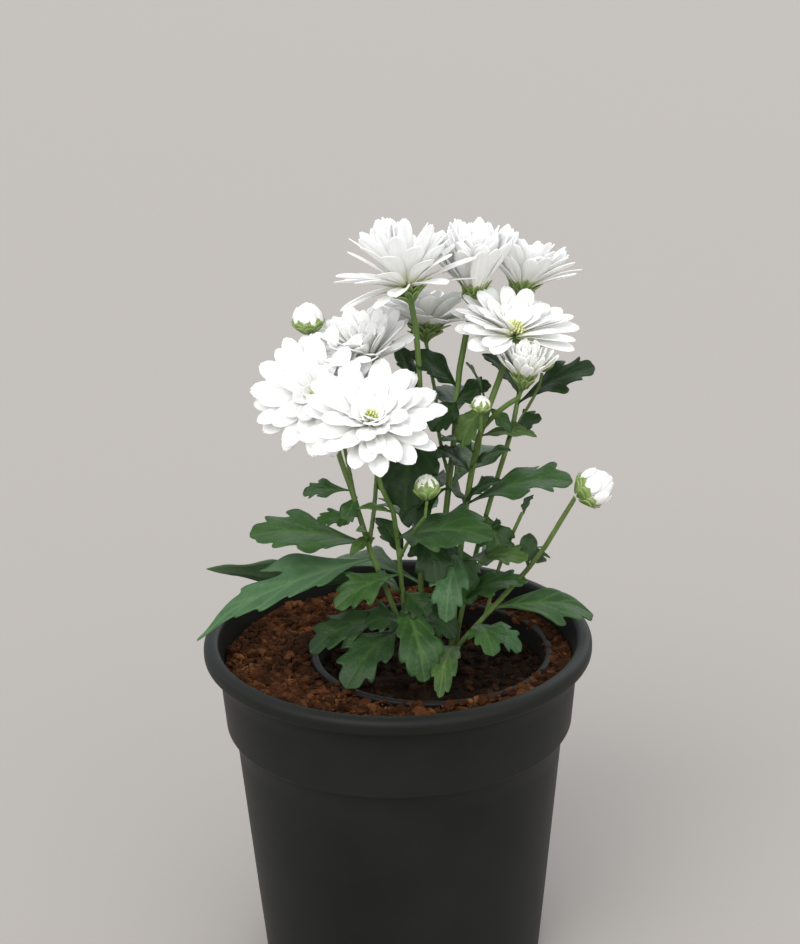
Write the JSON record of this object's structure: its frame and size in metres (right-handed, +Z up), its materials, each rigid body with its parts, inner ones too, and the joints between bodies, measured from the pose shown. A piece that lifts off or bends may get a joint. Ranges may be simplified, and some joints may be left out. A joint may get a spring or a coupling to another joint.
{
  "type": "potted chrysanthemum",
  "caption": "Small white-flowered chrysanthemum growing in a round tapered nursery pot with a rolled rim and coir soil, for a table or sill.",
  "frame": {"origin": "centre of the pot's flat base, on the surface it stands on", "axes": "+Z up along the pot's axis, -Y towards the side the two large flowers face, +X to their right"},
  "size_m": [0.1366, 0.13, 0.2563],
  "materials": {
    "pot_plastic": "charcoal black moulded plastic, soft sheen on the rolled rim",
    "liner_plastic": "thin black moulded plastic",
    "coir_soil": "reddish brown coir crumbs and fibres, dull",
    "root_soil": "dark damp peat and roots, dull",
    "stem_green": "fresh green, finely ridged and slightly downy",
    "leaf_green": "mid to dark green with paler veins, satin",
    "petal_white": "white, soft, with a yellow-green eye",
    "bud_green": "green cup of bracts with white folded petals"
  },
  "bodies": {
    "root": {"bud_front_round": "bud_green", "bud_left": "bud_green", "bud_middle_small": "bud_green", "bud_right_high": "bud_green", "bud_right_low": "bud_green", "flower_front": "petal_white", "flower_half_open": "petal_white", "flower_left": "petal_white", "flower_rear": "petal_white", "flower_right": "petal_white", "flower_small": "petal_white", "flower_top_left": "petal_white", "flower_top_middle": "petal_white", "flower_top_right": "petal_white", "leaf_back_great": "leaf_green", "leaf_back_left": "leaf_green", "leaf_back_low_left": "leaf_green", "leaf_back_low_right": "leaf_green", "leaf_back_right": "leaf_green", "leaf_back_upper": "leaf_green", "leaf_behind_front": "leaf_green", "leaf_centre_deep": "leaf_green", "leaf_centre_drooping": "leaf_green", "leaf_centre_left": "leaf_green", "leaf_centre_mass": "leaf_green", "leaf_foot_left": "leaf_green", "leaf_front_broad": "leaf_green", "leaf_front_hanging": "leaf_green", "leaf_front_small": "leaf_green", "leaf_left_edge_on": "leaf_green", "leaf_left_great": "leaf_green", "leaf_left_small_high": "leaf_green", "leaf_left_small_low": "leaf_green", "leaf_left_upper": "leaf_green", "leaf_liner_front": "leaf_green", "leaf_liner_left": "leaf_green", "leaf_lower_front": "leaf_green", "leaf_lower_left": "leaf_green", "leaf_middle_front": "leaf_green", "leaf_middle_hanging": "leaf_green", "leaf_middle_left": "leaf_green", "leaf_middle_right": "leaf_green", "leaf_middle_upright": "leaf_green", "leaf_right_edge": "leaf_green", "leaf_right_inner": "leaf_green", "leaf_right_light": "leaf_green", "leaf_right_low": "leaf_green", "leaf_right_rear": "leaf_green", "leaf_right_top": "leaf_green", "leaf_right_upper": "leaf_green", "liner_pot": "liner_plastic", "outer_pot": "pot_plastic", "potting_soil": "coir_soil", "root_ball": "root_soil", "shoot_left": "stem_green", "shoot_low_right": "stem_green", "shoot_middle": "stem_green", "shoot_right": "stem_green", "shoot_right_middle": "stem_green", "shoot_top_left": "stem_green"}
  },
  "joints": []
}
